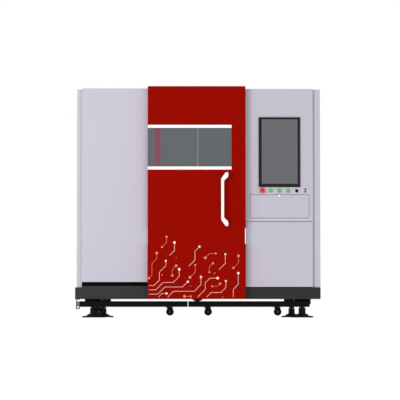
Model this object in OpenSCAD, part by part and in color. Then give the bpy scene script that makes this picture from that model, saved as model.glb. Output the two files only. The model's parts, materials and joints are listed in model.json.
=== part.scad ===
// Enclosed fiber laser cutting machine.
// Frame: X to the right, front towards -Y, Z up, origin on the floor under the middle.

/* [Enclosure] */
// Thickness of the folded sheet panels
sheet = 2; // [1.5:0.5:2.5]
// Top edge of the left front panel above the floor
left_top = 1929; // [1920:1:1932]
// Bottom edge of the left front panel, above the dark toe gap
left_bottom = 299; // [290:1:310]
// Top edge of the console front above the floor
console_top = 1925; // [1918:1:1928]
// Height of the roof sheet above the floor
roof_z = 1910; // [1900:1:1912]

/* [Front door] */
// Left edge of the red door
door_x0 = -421; // [-423:1:-421]
// Right edge of the red door
door_x1 = 400; // [396:1:402]
// Bottom edge of the red door
door_z0 = 156; // [152:1:165]
// Top edge of the red door, the highest point of the machine
door_z1 = 1943; // [1935:1:1948]
// Bottom of the viewing window
window_z0 = 1266; // [1250:1:1290]
// Top of the viewing window
window_z1 = 1590; // [1570:1:1610]
// Height of each white stripe above and below the window
stripe_h = 26; // [20:1:40]
// Bottom end of the pull handle
handle_z0 = 764; // [740:1:790]
// Top end of the pull handle
handle_z1 = 1214; // [1195:1:1226]

/* [Console] */
// Bottom of the portrait monitor
monitor_z0 = 1095; // [1093:1:1105]
// Top of the portrait monitor
monitor_z1 = 1684; // [1640:1:1720]
// Height of the row of buttons
button_z = 1064; // [1062:1:1066]
// Diameter of the emergency stop head
estop_d = 42; // [38:1:46]

/* [Base] */
// Top of the base channel
plinth_top = 253; // [253:1:253]
// Bottom of the base channel
plinth_bottom = 156; // [156:1:156]
// Diameter of a levelling foot plate
foot_d = 194; // [160:1:196]
// Distance of the levelling feet from the middle
foot_x = 879; // [875:1:881]
// Diameter of a caster wheel
wheel_d = 65; // [56:1:66]

/* [Cutting table] */
// Number of table slats
slat_n = 12; // [8:1:14]
// Teeth along a slat
slat_teeth = 20; // [12:1:26]

/* [Hidden] */
$fn = 64;
eps = 1;
yf = -990;            // face of the front panels
fl = 35;              // depth of the panels' return flanges
door_f = -1041;       // face of the door
door_r = -999;        // rear edge of the door
piv_x = -407;         // door pivot
piv_y = -1021;
piv_z = [300, 1880];
srv_x = 959;          // service door pivot
srv_y = -982;
btn_x = [541, 614, 686, 759, 831];
btn_r = [11, 13, 14, 14, 10];
caster_x = [-836, -240, 80, 663];
trail = 6;
wheel_z = 49;
caster_y = -965;
socket_z = button_z + 3;
foot_y = [-875, 945];
gx = -250;            // rest place of the cutting head
gy = 650;             // rest place of the gantry
duct = [-300, 520];

panel_c = [0.80, 0.785, 0.835];
red_c = [0.60, 0.05, 0.01];
dark_c = [0.22, 0.22, 0.235];
black_c = [0.07, 0.07, 0.075];
white_c = [0.97, 0.97, 0.96];
steel_c = [0.62, 0.63, 0.65];
alu_c = [0.78, 0.79, 0.80];

// ---- shared shapes ----
module box(x0, x1, y0, y1, z0, z1)
  translate([x0, y0, z0]) cube([x1 - x0, y1 - y0, z1 - z0]);
module ycyl(x, z, y0, y1, r)
  translate([x, y0, z]) rotate([-90, 0, 0]) cylinder(r = r, h = y1 - y0);
module zcyl(x, y, z0, z1, r)
  translate([x, y, z0]) cylinder(r = r, h = z1 - z0);
// folded tray with its face at y0 and its open side to the rear
module tray(x0, x1, z0, z1, y0, d, t)
  difference() {
    box(x0, x1, y0, y0 + d, z0, z1);
    box(x0 + t, x1 - t, y0 + t, y0 + d + eps, z0 + t, z1 - t);
  }

// ---- base ----
// folded channel: a deep front member, shallower side and rear members
module plinth() color(dark_c)
  difference() {
    union() {
      difference() {
        box(-1029, 1029, yf, -890, plinth_bottom, plinth_top);
        box(-1023, 1023, yf + 6, -889, plinth_bottom + 6, plinth_top - 6);
      }
      difference() {
        box(-1029, 1029, -890, 1060, 176, plinth_top);
        box(-929, 929, -891, 960, 175, plinth_top + eps);
        box(-1023, 1023, -891, 1054, 182, plinth_top - 6);
      }
      box(-972, door_x0, yf, -962, plinth_top, plinth_top + 12);
    }
    zcyl(srv_x, srv_y, plinth_top - 7, plinth_top + eps, 3.06);
  }
module floor_plate() color(dark_c)
  box(-1000, 1015, -955, 1053, plinth_top, 259);
module toe_strip() color(black_c)
  difference() {
    box(-990, -405, -955, -949, 259, 330);
    for (i = [0:4]) ycyl(-930 + i * 118, 318, -956, -948, 4);
  }
module base_rail(x0, x1)
  difference() {
    union() {
      box(x0, x1, -985, -945, 90, 138);
      if (x1 > 0) box(-16, 12, -980, -950, 138, plinth_bottom);
    }
    box(x0 - eps, x1 + eps, -981, -949, 94, 134);
    for (x = caster_x) if (x > x0 && x < x1)
      zcyl(x, caster_y, 88, 98, 8.06);
  }
module base_rails() color(black_c) {
  base_rail(-990, -86);
  base_rail(-80, 934);
}
module foot_bracket(x, y, top)
  difference() {
    translate([x, y + 70, 100]) rotate([90, 0, 0]) linear_extrude(140)
      polygon([[-52, 0], [52, 0], [70, 18], [70, top - 100], [-70, top - 100], [-70, 18]]);
    zcyl(x, y, 99, top + eps, 12.06);
  }
module foot_brackets() color(black_c)
  for (sx = [-1, 1]) {
    foot_bracket(sx * foot_x, foot_y[0], plinth_bottom);
    foot_bracket(sx * foot_x, foot_y[1], 176);
  }
module foot(x, y) color(black_c) {
  zcyl(x, y, 0, 14, foot_d / 2);
  zcyl(x, y, 14, 30, 55);
  zcyl(x, y, 30, 84, 29.5);
  zcyl(x, y, 84, 99.4, 22);
  zcyl(x, y, 99.4, 154, 12);
}
module foot_front_left() foot(-foot_x, foot_y[0]);
module foot_front_right() foot(foot_x, foot_y[0]);
module foot_rear_left() foot(-foot_x, foot_y[1]);
module foot_rear_right() foot(foot_x, foot_y[1]);
module rail_end_fitting() color([0.43, 0.43, 0.44])
  difference() {
    box(-1022, -990, -980, -950, 72, plinth_bottom);
    ycyl(-1006, 88, -981, -949, 8);
    box(-1016, -989, -981, -949, 136, 150);
  }
module caster_fork(x) color(black_c) {
  zcyl(x, caster_y, 83.5, 89.6, 26);
  zcyl(x, caster_y, 89, 120, 8);
  for (s = [-1, 1]) translate([x, caster_y + s * 18 + 2.5, 0]) rotate([90, 0, 0])
    linear_extrude(5) union() {
      polygon([[trail - 25, 85], [trail - 25, 77], [trail - 14, wheel_z - 4],
        [trail + 14, wheel_z - 4], [trail + 25, 77], [trail + 25, 85]]);
      translate([trail, wheel_z]) circle(14);
    }
  ycyl(x + trail, wheel_z, caster_y - 21, caster_y + 21, 5);
}
module caster_wheel(x) color([0.12, 0.12, 0.125])
  translate([x + trail, caster_y, wheel_z]) rotate([90, 0, 0]) rotate_extrude($fn = 72)
    polygon([[5.06, -13], [13, -13], [13, -9], [22, -9], [22, -12],
      [wheel_d / 2 - 3, -12], [wheel_d / 2, -8], [wheel_d / 2, 8],
      [wheel_d / 2 - 3, 12], [22, 12], [22, 9], [13, 9], [13, 13], [5.06, 13]]);
module caster_fork_1() caster_fork(caster_x[0]);
module caster_fork_2() caster_fork(caster_x[1]);
module caster_fork_3() caster_fork(caster_x[2]);
module caster_fork_4() caster_fork(caster_x[3]);
module caster_wheel_1() caster_wheel(caster_x[0]);
module caster_wheel_2() caster_wheel(caster_x[1]);
module caster_wheel_3() caster_wheel(caster_x[2]);
module caster_wheel_4() caster_wheel(caster_x[3]);

// ---- enclosure ----
module left_front_panel() color(panel_c)
  tray(-973, -405, left_bottom, left_top, yf, fl, sheet);
// side panels folded with a narrow front strip and a groove
module left_side_panel() color(panel_c)
  translate([0, 0, plinth_top]) linear_extrude(1922 - plinth_top)
    polygon([[-1017, -985], [-990, -985], [-990, -981], [-973, -981], [-973, -979],
      [-992, -979], [-992, -983], [-1015, -983], [-1015, 1055], [-1017, 1055]]);
module right_side_panel() color(panel_c)
  translate([0, 0, plinth_top]) linear_extrude(1922 - plinth_top)
    polygon([[1029, -985], [983, -985], [983, -975], [967, -975], [967, -973],
      [985, -973], [985, -983], [1027, -983], [1027, 1055], [1029, 1055]]);
module roof_panel() color(panel_c)
  difference() {
    box(-1015, 1027, -955, 1053, roof_z - 22, roof_z);
    box(-1013, 1025, -953, 1051, roof_z - 23, roof_z - sheet);
  }
module rear_panel() color(panel_c)
  difference() {
    box(-1015, 1027, 1053, 1055, 265, roof_z);
    ycyl(duct[0], duct[1], 1050, 1058, 100.3);
    for (i = [0:11]) box(560, 900, 1050, 1058, 420 + i * 26, 430 + i * 26);
    for (i = [0:11]) box(560, 900, 1050, 1058, 1320 + i * 26, 1330 + i * 26);
  }
module partition_wall() color(panel_c)
  box(388, 391, -955, 1053, 259, roof_z - 22);
module door_frame() color(dark_c)
  difference() {
    box(-405, 396, yf, -955, plinth_top, left_top - 2);
    box(-365, 350, yf - eps, -954, 330, 1860);
  }
module door_seal() color(black_c)
  difference() {
    box(-392, 382, -998.3, yf, 295, 1905);
    box(-382, 372, -1000, yf + eps, 305, 1895);
  }
module exhaust_collar() color(steel_c)
  difference() {
    union() {
      ycyl(duct[0], duct[1], 1035, 1100, 100);
      ycyl(duct[0], duct[1], 1055, 1058, 130);
    }
    ycyl(duct[0], duct[1], 1030, 1105, 97);
    for (a = [0:45:315])
      ycyl(duct[0] + 116 * cos(a), duct[1] + 116 * sin(a), 1054, 1060, 4);
  }

// ---- front door ----
module lug(z0)
  difference() {
    box(-421, -393, door_f + sheet, -1008, z0, z0 + 6);
    zcyl(piv_x, piv_y, z0 - eps, z0 + 7, 8);
  }
module door_skin() color(red_c) {
  difference() {
    tray(door_x0, door_x1, door_z0, door_z1, door_f, door_r - door_f, sheet);
    box(-360, 240, door_f - eps, door_f + 5, window_z0 + 20, window_z1 - 20);
    for (z = piv_z) box(door_x0 - eps, door_x0 + 5, door_f + sheet, door_r + eps, z - 16, z + 16);
  }
  for (z = piv_z) { lug(z - 12.6); lug(z + 6.6); }
  // rounded tab under the lower edge
  difference() {
    ycyl(-3, door_z0 + 42, -1003, -1001, 62);
    box(-80, 80, -1004, -1000, door_z0 + sheet, door_z0 + 120);
  }
}
module door_liner() color([0.72, 0.72, 0.74])
  difference() {
    box(-385, door_x1 - sheet, -1001, door_r, door_z0 + sheet, door_z1 - sheet);
    box(-360, 240, -1003, -998, window_z0 + 20, window_z1 - 20);
  }
module window_panes() color([0.42, 0.42, 0.43]) {
  box(-421, -1, door_f - 5, door_f, window_z0, window_z1);
  box(1, 283, door_f - 5, door_f, window_z0, window_z1);
}
module window_stripes() color(white_c) {
  box(-421, 283, door_f - 4, door_f, window_z1, window_z1 + stripe_h);
  box(-421, 283, door_f - 4, door_f, window_z0 - stripe_h, window_z0);
  box(-1, 1, door_f - 4, door_f, window_z0, window_z1);
}
module door_handle() color(white_c) {
  // bowed grip cut from one bar, its ends turned towards the door edge
  translate([0, door_f - 34, 0]) rotate([90, 0, 0]) linear_extrude(25)
    polygon([[253, handle_z1], [233, handle_z1], [195, handle_z1 - 52],
      [195, handle_z0 + 52], [233, handle_z0], [253, handle_z0],
      [253, handle_z0 + 37], [219, handle_z0 + 71],
      [219, handle_z1 - 71], [253, handle_z1 - 37]]);
  for (z = [handle_z0 + 19, handle_z1 - 19]) ycyl(242, z, door_f - 35, door_f, 9.5);
}
module door_pivot_pins() color(steel_c)
  for (z = piv_z) zcyl(piv_x, piv_y, z - 15, z + 15, 8);
module door_edge_plates() color([0.85, 0.8, 0.8]) {
  box(door_x1, door_x1 + 2, -1036, -1004, 618, 748);
  box(door_x0 - 2, door_x0, -1036, -1004, 618, 748);
}
module pivot_bracket(z)
  difference() {
    union() {
      box(-417, -397, -993, yf, z - 12, z + 12);
      box(-417, -397, piv_y, -992, z - 6, z + 6);
      zcyl(piv_x, piv_y, z - 6, z + 6, 10);
    }
    zcyl(piv_x, piv_y, z - 7, z + 7, 8.06);
  }
module hinge_brackets() color(steel_c) {
  for (z = piv_z) pivot_bracket(z);
  difference() {
    box(950, 964, -987, -970, 809, 822);
    zcyl(srv_x, srv_y, 800, 830, 3.06);
  }
}
module interlock_switch() color([0.9, 0.75, 0.1])
  difference() {
    box(350, 385, -955, -930, 1000, 1080);
    for (z = [1010, 1070]) ycyl(367, z, -960, -925, 2.6);
  }

// ---- console ----
module rounded(w, h, r) {
  square([w - 2 * r, h], center = true);
  square([w, h - 2 * r], center = true);
  for (sx = [-1, 1], sz = [-1, 1]) translate([sx * (w / 2 - r), sz * (h / 2 - r)]) circle(r);
}
// rounded plate or hole around the drawer's middle, from y0 to y1
module drawer_shape(w, h, r, y0, y1)
  translate([687, y1, 934]) rotate([90, 0, 0]) linear_extrude(y1 - y0) rounded(w, h, r);
module console_fascia() color(panel_c)
  difference() {
    union() {
      tray(396, 967, 807, console_top, yf, fl, sheet);
      box(396, 402, yf, yf + fl, 255, 809);
      drawer_shape(504, 204.5, 22, yf + eps, -977);
    }
    box(519, 853, yf - eps, yf + 5, monitor_z0 + 8, monitor_z1 - 8);
    drawer_shape(500, 200.5, 20, yf - eps, -979);
    drawer_shape(483, 183.5, 3, -980, -976);
    for (i = [0:4]) ycyl(btn_x[i], button_z, yf - eps, yf + 5, btn_r[i] + 0.5);
    for (s = [-1, 1]) box(898, 908, yf - eps, yf + 5, socket_z + s * 10.2 - 4, socket_z + s * 10.2 + 4);
    zcyl(srv_x, srv_y, 806, 810, 3.06);
  }
module monitor_housing() color(black_c)
  difference() {
    union() {
      box(511, 861, -998, yf, monitor_z0, monitor_z1);
      box(521, 851, yf - eps, -935, monitor_z0 + 10, monitor_z1 - 10);
    }
    box(536, 840, -999, -995, monitor_z0 + 27, monitor_z1 - 16);
    for (i = [0:7]) box(600, 770, -940, -930, 1300 + i * 24, 1310 + i * 24);
  }
module monitor_screen() color([0.42, 0.43, 0.44])
  box(536, 840, -997, -995, monitor_z0 + 27, monitor_z1 - 16);
module bezel(x, r) difference() {
  ycyl(x, button_z, yf - 3, yf, r + 3.2);
  ycyl(x, button_z, yf - 4, yf + eps, r + 0.5);
}
module panel_bezels() color(black_c) {
  for (i = [0:4]) bezel(btn_x[i], btn_r[i]);
  // two data sockets
  for (s = [-1, 1]) translate([903, 0, socket_z + s * 10.2]) difference() {
    union() {
      box(-7.2, 7.2, yf - 1.2, yf, -6, 6);
      box(-4.5, 4.5, yf - eps, yf + 20, -3.5, 3.5);
    }
    box(-3.5, 3.5, yf - 2, yf + 12, -1.8, 1.8);
  }
}
module button(i, c) color(c) {
  ycyl(btn_x[i], button_z, yf - 8, yf + 22, btn_r[i]);
  ycyl(btn_x[i], button_z, yf - 9.5, yf - 8, btn_r[i] - 2);
}
module estop_button() color([0.95, 0.12, 0.1]) {
  ycyl(btn_x[0], button_z, yf - 14, yf + 26, 11);
  translate([btn_x[0], yf - 14, button_z]) rotate([90, 0, 0]) rotate_extrude()
    polygon([[0, 0], [estop_d / 2 - 2, 0], [estop_d / 2, 3], [estop_d / 2, 8],
      [estop_d / 2 - 3, 13], [estop_d / 2 - 9, 16], [0, 17]]);
}
module start_button() button(1, [0.29, 0.8, 0.28]);
module pause_button() button(2, [0.29, 0.8, 0.28]);
module resume_button() button(3, [0.29, 0.8, 0.28]);
module reset_button() button(4, black_c);
module drawer_rails() color(steel_c) {
  box(420, 447.5, -968, -520, 860, 900);
  box(411, 426, -988, -968, 850, 910);
  box(922.5, 950, -968, -520, 860, 900);
  box(944, 959, -988, -968, 850, 910);
}
// front plate of the drawer with rounded corners, and an open tray behind it
module drawer_box() color(panel_c) {
  drawer_shape(492, 192.5, 16, yf, -984);
  difference() {
    box(448, 922, -985, -560, 844, 938);
    box(452, 918, -984, -564, 848, 939);
  }
}
module drawer_pull() color(white_c)
  translate([686, yf, 1023]) rotate([90, 0, 0]) rotate_extrude()
    polygon([[0, 0], [6, 0], [6, 5], [10, 9], [10, 12], [8, 14], [0, 14.5]]);
module keyboard() color(black_c)
  difference() {
    box(475, 895, -910, -770, 848, 870);
    for (i = [0:4]) box(485, 885, -903 + i * 26, -901 + i * 26 + 20, 866, 871);
  }
module service_door() color(panel_c) {
  difference() {
    tray(403.5, 965, 258, 803, yf, 30, sheet);
    zcyl(srv_x, srv_y, 250, 810, 3);
  }
  for (z = [260, 787]) difference() {
    box(949, 963, -988, -972, z, z + 14);
    zcyl(srv_x, srv_y, z - eps, z + 15, 3);
  }
}
module service_pins() color(steel_c) {
  zcyl(srv_x, srv_y, 787, 821, 3);
  zcyl(srv_x, srv_y, 248, 274, 3);
}

// ---- inside ----
module bed_frame() color(dark_c) {
  for (x = [-900, 240]) {
    difference() {
      box(x, x + 120, -850, 950, 660, 820);
      box(x + 8, x + 112, -851, 951, 668, 812);
    }
    for (y = [-800, 0, 820]) box(x + 10, x + 110, y, y + 100, 259, 660);
  }
  for (y = [-790, 850]) box(-790, 250, y, y + 60, 560, 640);
  box(-780, -745, -700, 560, 700, 706);
  box(205, 240, -700, 560, 700, 706);
}
module y_guides() color(steel_c) {
  box(-850, -830, -840, 940, 820, 842);
  box(290, 310, -840, 940, 820, 842);
}
module slat()
  translate([-779, 2.5, 706]) rotate([90, 0, 0]) linear_extrude(5)
    polygon(concat([[1018, 0], [1018, 80]],
      [for (i = [slat_teeth - 1:-1:0]) each [
        [(i + 0.5) * 1018 / slat_teeth, 100], [i * 1018 / slat_teeth, 80]]],
      [[0, 0]]));
module table_slats() color(steel_c)
  for (i = [0:slat_n - 1]) translate([0, -670 + i * 1200 / (slat_n - 1), 0]) slat();
module slag_tray() color(steel_c)
  difference() {
    box(-760, 220, -720, 860, 259, 380);
    box(-757, 217, -717, 857, 262, 381);
  }
module laser_source() color([0.86, 0.86, 0.87]) {
  box(480, 960, 250, 950, 271, 500);
  for (x = [510, 930], y = [290, 910]) zcyl(x, y, 259, 272, 16);
  for (x = [520, 920]) {
    box(x - 6, x + 6, 228, 240, 320, 450);
    for (z = [320, 438]) box(x - 6, x + 6, 238, 251, z, z + 12);
  }
}
module control_plate() color([0.8, 0.8, 0.78]) {
  box(391, 394, -350, 150, 520, 1520);
  for (i = [0:3]) box(393, 486, -320 + i * 115, -235 + i * 115, 1180, 1420);
  for (i = [0:2]) box(393, 456, -320 + i * 150, -200 + i * 150, 900, 1060);
  for (z = [820, 1110, 1460]) box(393, 426, -330, 130, z, z + 40);
  box(393, 466, -300, 100, 580, 760);
}
module gantry_beam() color(alu_c) {
  difference() {
    box(-880, 340, gy - 60, gy + 60, 880, 1020);
    box(-881, 341, gy - 50, gy + 50, 890, 1010);
  }
  for (x = [-840, 300]) difference() {
    box(x - 30, x + 30, gy - 60, gy + 60, 824, 881);
    box(x - 10.5, x + 10.5, gy - 61, gy + 61, 820, 842.5);
  }
  for (z = [910, 980]) box(-800, 260, gy - 72, gy - 59, z, z + 14);
}
module x_carriage() color(alu_c) {
  box(gx - 80, gx + 80, gy - 102, gy - 89, 885, 1018);
  for (x = [gx - 78, gx + 28], z = [902, 972]) difference() {
    box(x, x + 50, gy - 90, gy - 60.5, z, z + 30);
    box(x - 1, x + 51, gy - 72.5, gy - 59, z + 7.5, z + 22.5);
  }
  for (x = [gx - 36, gx + 22]) box(x, x + 14, gy - 114, gy - 101, 890, 1012);
}
module cutting_head() color([0.15, 0.15, 0.17]) {
  box(gx - 50, gx + 50, gy - 134, gy - 124, 895, 1060);
  for (x = [gx - 45, gx + 13], z = [905, 975]) difference() {
    box(x, x + 32, gy - 125, gy - 102.5, z, z + 30);
    box(x + 8.5, x + 23.5, gy - 114.5, gy - 100, z - 1, z + 31);
  }
  difference() {
    union() {
      box(gx - 46, gx + 46, gy - 212, gy - 133, 930, 1080);
      zcyl(gx, gy - 172, 900, 931, 34);
      translate([gx, gy - 172, 866]) cylinder(r1 = 5, r2 = 22, h = 35);
      zcyl(gx, gy - 172, 1080, 1110, 22);
    }
    zcyl(gx, gy - 172, 860, 940, 1.5);
  }
}

plinth();
floor_plate();
toe_strip();
left_front_panel();
left_side_panel();
right_side_panel();
console_fascia();
roof_panel();
rear_panel();
partition_wall();
door_frame();
door_seal();
hinge_brackets();
base_rails();
foot_brackets();
rail_end_fitting();
bed_frame();
y_guides();
table_slats();
slag_tray();
laser_source();
control_plate();
monitor_housing();
monitor_screen();
panel_bezels();
drawer_rails();
exhaust_collar();
interlock_switch();
door_skin();
door_liner();
window_panes();
window_stripes();
door_handle();
door_pivot_pins();
door_edge_plates();
drawer_box();
drawer_pull();
keyboard();
service_door();
service_pins();
estop_button();
start_button();
pause_button();
resume_button();
reset_button();
gantry_beam();
x_carriage();
cutting_head();
foot_front_left();
foot_front_right();
foot_rear_left();
foot_rear_right();
caster_fork_1();
caster_fork_2();
caster_fork_3();
caster_fork_4();
caster_wheel_1();
caster_wheel_2();
caster_wheel_3();
caster_wheel_4();
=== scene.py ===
import json
import math
import random

import bmesh
import bpy
from mathutils import Matrix, Vector


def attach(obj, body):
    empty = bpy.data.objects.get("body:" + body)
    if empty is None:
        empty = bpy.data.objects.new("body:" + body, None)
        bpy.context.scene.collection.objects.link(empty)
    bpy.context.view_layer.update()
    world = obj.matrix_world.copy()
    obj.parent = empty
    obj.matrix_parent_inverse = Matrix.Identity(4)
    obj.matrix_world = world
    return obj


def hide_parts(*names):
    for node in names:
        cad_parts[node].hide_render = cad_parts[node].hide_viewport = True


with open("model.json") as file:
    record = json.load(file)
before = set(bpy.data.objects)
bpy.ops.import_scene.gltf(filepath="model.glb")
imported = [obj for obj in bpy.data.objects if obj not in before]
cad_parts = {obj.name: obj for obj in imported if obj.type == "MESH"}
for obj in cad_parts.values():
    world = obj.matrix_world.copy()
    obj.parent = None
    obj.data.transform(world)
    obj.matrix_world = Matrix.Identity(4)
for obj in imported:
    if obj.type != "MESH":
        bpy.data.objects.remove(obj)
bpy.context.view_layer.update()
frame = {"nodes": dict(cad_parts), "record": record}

NODES = frame["nodes"]
rng = random.Random(7)


# ------------------------------------------------------------------ materials
def lin(r, g, b):
    """sRGB 0-255 to linear."""
    out = []
    for c in (r, g, b):
        c = c / 255.0
        out.append(c / 12.92 if c <= 0.04045 else ((c + 0.055) / 1.055) ** 2.4)
    return (out[0], out[1], out[2], 1.0)


def scaled(col, k):
    return (min(col[0] * k, 1.0), min(col[1] * k, 1.0), min(col[2] * k, 1.0), 1.0)


def node(nt, kind, x=0, y=0, **vals):
    n = nt.nodes.new(kind)
    n.location = (x, y)
    for k, v in vals.items():
        if k in n.inputs:
            n.inputs[k].default_value = v
        else:
            setattr(n, k, v)
    return n


def material(name, col, rough=0.4, spec=0.5, metal=0.0, var=0.06, var_scale=2.5,
             grain=350.0, bump=0.08, depth=0.0004, rvar=0.08, stretch=None,
             crevice_shade=0.0, crevice_shade_col=None, crevice_shade_dist=0.04, wear=0.0, wear_col=None,
             coat=0.0, coat_rough=0.1, spangle=0.0, transmission=0.0, alpha=1.0):
    m = bpy.data.materials.new(name)
    m.use_nodes = True
    nt = m.node_tree
    nt.nodes.clear()
    out = node(nt, "ShaderNodeOutputMaterial", 900, 0)
    bs = node(nt, "ShaderNodeBsdfPrincipled", 600, 0)
    nt.links.new(bs.outputs[0], out.inputs[0])
    bs.inputs["Metallic"].default_value = metal
    bs.inputs["Specular IOR Level"].default_value = spec
    bs.inputs["Coat Weight"].default_value = coat
    bs.inputs["Coat Roughness"].default_value = coat_rough
    bs.inputs["Transmission Weight"].default_value = transmission
    bs.inputs["Alpha"].default_value = alpha
    tc = node(nt, "ShaderNodeTexCoord", -1400, 0)
    vec = tc.outputs["Object"]
    if stretch:
        mp = node(nt, "ShaderNodeMapping", -1200, -200)
        mp.inputs["Scale"].default_value = stretch
        nt.links.new(vec, mp.inputs["Vector"])
        fine_vec = mp.outputs[0]
    else:
        fine_vec = vec
    # broad, soft change of tone across the surface
    broad = node(nt, "ShaderNodeTexNoise", -1000, 250)
    broad.inputs["Scale"].default_value = var_scale
    broad.inputs["Detail"].default_value = 4.0
    nt.links.new(vec, broad.inputs["Vector"])
    fine = node(nt, "ShaderNodeTexNoise", -1000, -200)
    fine.inputs["Scale"].default_value = grain
    fine.inputs["Detail"].default_value = 3.0
    nt.links.new(fine_vec, fine.inputs["Vector"])
    ramp = node(nt, "ShaderNodeMapRange", -780, 250)
    ramp.inputs["From Min"].default_value = 0.3
    ramp.inputs["From Max"].default_value = 0.7
    nt.links.new(broad.outputs["Fac"], ramp.inputs["Value"])
    mix = node(nt, "ShaderNodeMix", -520, 250)
    mix.data_type = "RGBA"
    mix.inputs["A"].default_value = scaled(col, 1.0 - var)
    mix.inputs["B"].default_value = scaled(col, 1.0 + var)
    nt.links.new(ramp.outputs["Result"], mix.inputs["Factor"])
    colour = mix.outputs["Result"]
    if spangle:
        vor = node(nt, "ShaderNodeTexVoronoi", -780, 500)
        vor.inputs["Scale"].default_value = 70.0
        nt.links.new(vec, vor.inputs["Vector"])
        sep = node(nt, "ShaderNodeSeparateColor", -600, 500)
        nt.links.new(vor.outputs["Color"], sep.inputs[0])
        sm = node(nt, "ShaderNodeMapRange", -440, 500)
        sm.inputs["To Min"].default_value = 1.0 - spangle
        sm.inputs["To Max"].default_value = 1.0 + spangle
        nt.links.new(sep.outputs[0], sm.inputs["Value"])
        mul = node(nt, "ShaderNodeMix", -260, 420)
        mul.data_type = "RGBA"
        mul.blend_type = "MULTIPLY"
        mul.inputs["Factor"].default_value = 1.0
        nt.links.new(colour, mul.inputs["A"])
        nt.links.new(sm.outputs["Result"], mul.inputs["B"])
        colour = mul.outputs["Result"]
    # painted shade: the colour is darkened towards crevice_shade_col where ambient occlusion finds nearby surfaces, in
    # recesses, corners and beside the door
    if crevice_shade:
        ao = node(nt, "ShaderNodeAmbientOcclusion", -520, 650)
        ao.samples = 4
        ao.inputs["Distance"].default_value = crevice_shade_dist
        am = node(nt, "ShaderNodeMapRange", -340, 650)
        am.inputs["From Min"].default_value = 0.35
        am.inputs["From Max"].default_value = 0.9
        am.inputs["To Min"].default_value = crevice_shade
        am.inputs["To Max"].default_value = 0.0
        nt.links.new(ao.outputs["AO"], am.inputs["Value"])
        dm = node(nt, "ShaderNodeMix", -80, 400)
        dm.data_type = "RGBA"
        dm.inputs["B"].default_value = crevice_shade_col or scaled(col, 0.35)
        nt.links.new(am.outputs["Result"], dm.inputs["Factor"])
        nt.links.new(colour, dm.inputs["A"])
        colour = dm.outputs["Result"]
    if wear:
        ge = node(nt, "ShaderNodeNewGeometry", -520, 900)
        wm = node(nt, "ShaderNodeMapRange", -340, 900)
        wm.inputs["From Min"].default_value = 0.53
        wm.inputs["From Max"].default_value = 0.62
        wm.inputs["To Max"].default_value = wear
        nt.links.new(ge.outputs["Pointiness"], wm.inputs["Value"])
        wn = node(nt, "ShaderNodeMath", -160, 900, operation="MULTIPLY")
        nt.links.new(wm.outputs["Result"], wn.inputs[0])
        nt.links.new(fine.outputs["Fac"], wn.inputs[1])
        wx = node(nt, "ShaderNodeMix", 120, 420)
        wx.data_type = "RGBA"
        wx.inputs["B"].default_value = wear_col or scaled(col, 1.6)
        nt.links.new(wn.outputs[0], wx.inputs["Factor"])
        nt.links.new(colour, wx.inputs["A"])
        colour = wx.outputs["Result"]
    nt.links.new(colour, bs.inputs["Base Color"])
    rr = node(nt, "ShaderNodeMapRange", -520, -60)
    rr.inputs["To Min"].default_value = max(rough - rvar, 0.02)
    rr.inputs["To Max"].default_value = min(rough + rvar, 1.0)
    nt.links.new(fine.outputs["Fac"], rr.inputs["Value"])
    nt.links.new(rr.outputs["Result"], bs.inputs["Roughness"])
    if bump:
        bp = node(nt, "ShaderNodeBump", 200, -300)
        bp.inputs["Strength"].default_value = bump
        bp.inputs["Distance"].default_value = depth
        nt.links.new(fine.outputs["Fac"], bp.inputs["Height"])
        nt.links.new(bp.outputs["Normal"], bs.inputs["Normal"])
    return m


# crevice_shade on the materials below is painted shade, darkening each colour in recesses and next to proud parts
M = {}
M["panel"] = material("panel_paint", lin(197, 193, 206), rough=0.42, spec=0.28, var=0.012, var_scale=1.2,
                      grain=420, bump=0.10, depth=0.0003, crevice_shade=0.09, crevice_shade_col=lin(120, 118, 128), crevice_shade_dist=0.07)
M["red"] = material("red_paint", lin(149, 9, 0), rough=0.46, spec=0.02, var=0.035, var_scale=1.4,
                    grain=420, bump=0.10, depth=0.0003, crevice_shade=0.35, crevice_shade_col=lin(84, 4, 0), crevice_shade_dist=0.05)
M["base"] = material("base_paint", lin(48, 48, 50), rough=0.55, spec=0.08, var=0.07, var_scale=3.0,
                     grain=260, bump=0.16, depth=0.0005, crevice_shade=0.3, wear=0.25, wear_col=lin(96, 96, 99))
M["black"] = material("black_paint", lin(6, 6, 7), rough=0.5, spec=0.06, var=0.12, var_scale=6.0,
                      grain=240, bump=0.14, depth=0.0005, wear=0.25, wear_col=lin(60, 60, 62))
M["tread"] = material("caster_rubber", lin(24, 24, 25), rough=0.85, spec=0.05, var=0.12, var_scale=14,
                      grain=900, bump=0.25, depth=0.0004)
M["seal"] = material("seal_rubber", lin(22, 22, 22), rough=0.8, spec=0.12, var=0.12, var_scale=10,
                     grain=900, bump=0.25, depth=0.0003)
M["steel"] = material("bright_steel", lin(176, 178, 182), rough=0.32, spec=0.5, metal=1.0, var=0.06, var_scale=9,
                      grain=60, stretch=(1, 14, 14), bump=0.06, depth=0.0002, rvar=0.12)
M["zinc"] = material("galvanised_steel", lin(186, 187, 190), rough=0.42, spec=0.5, metal=0.85, var=0.05,
                     var_scale=5, grain=180, bump=0.05, depth=0.0002, spangle=0.09, rvar=0.12)
M["source"] = material("source_paint", lin(208, 208, 207), rough=0.45, spec=0.3, var=0.02, grain=380,
                       bump=0.10, depth=0.0003, crevice_shade=0.25)
M["blackplastic"] = material("black_plastic", lin(30, 30, 34), rough=0.5, spec=0.18, var=0.10, var_scale=12,
                             grain=1100, bump=0.20, depth=0.0002)
M["screen"] = material("screen_glass", lin(106, 107, 111), rough=0.12, spec=0.22, var=0.02, var_scale=1.5,
                       grain=30, bump=0.0, rvar=0.03, coat=0.25, coat_rough=0.03)
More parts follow.
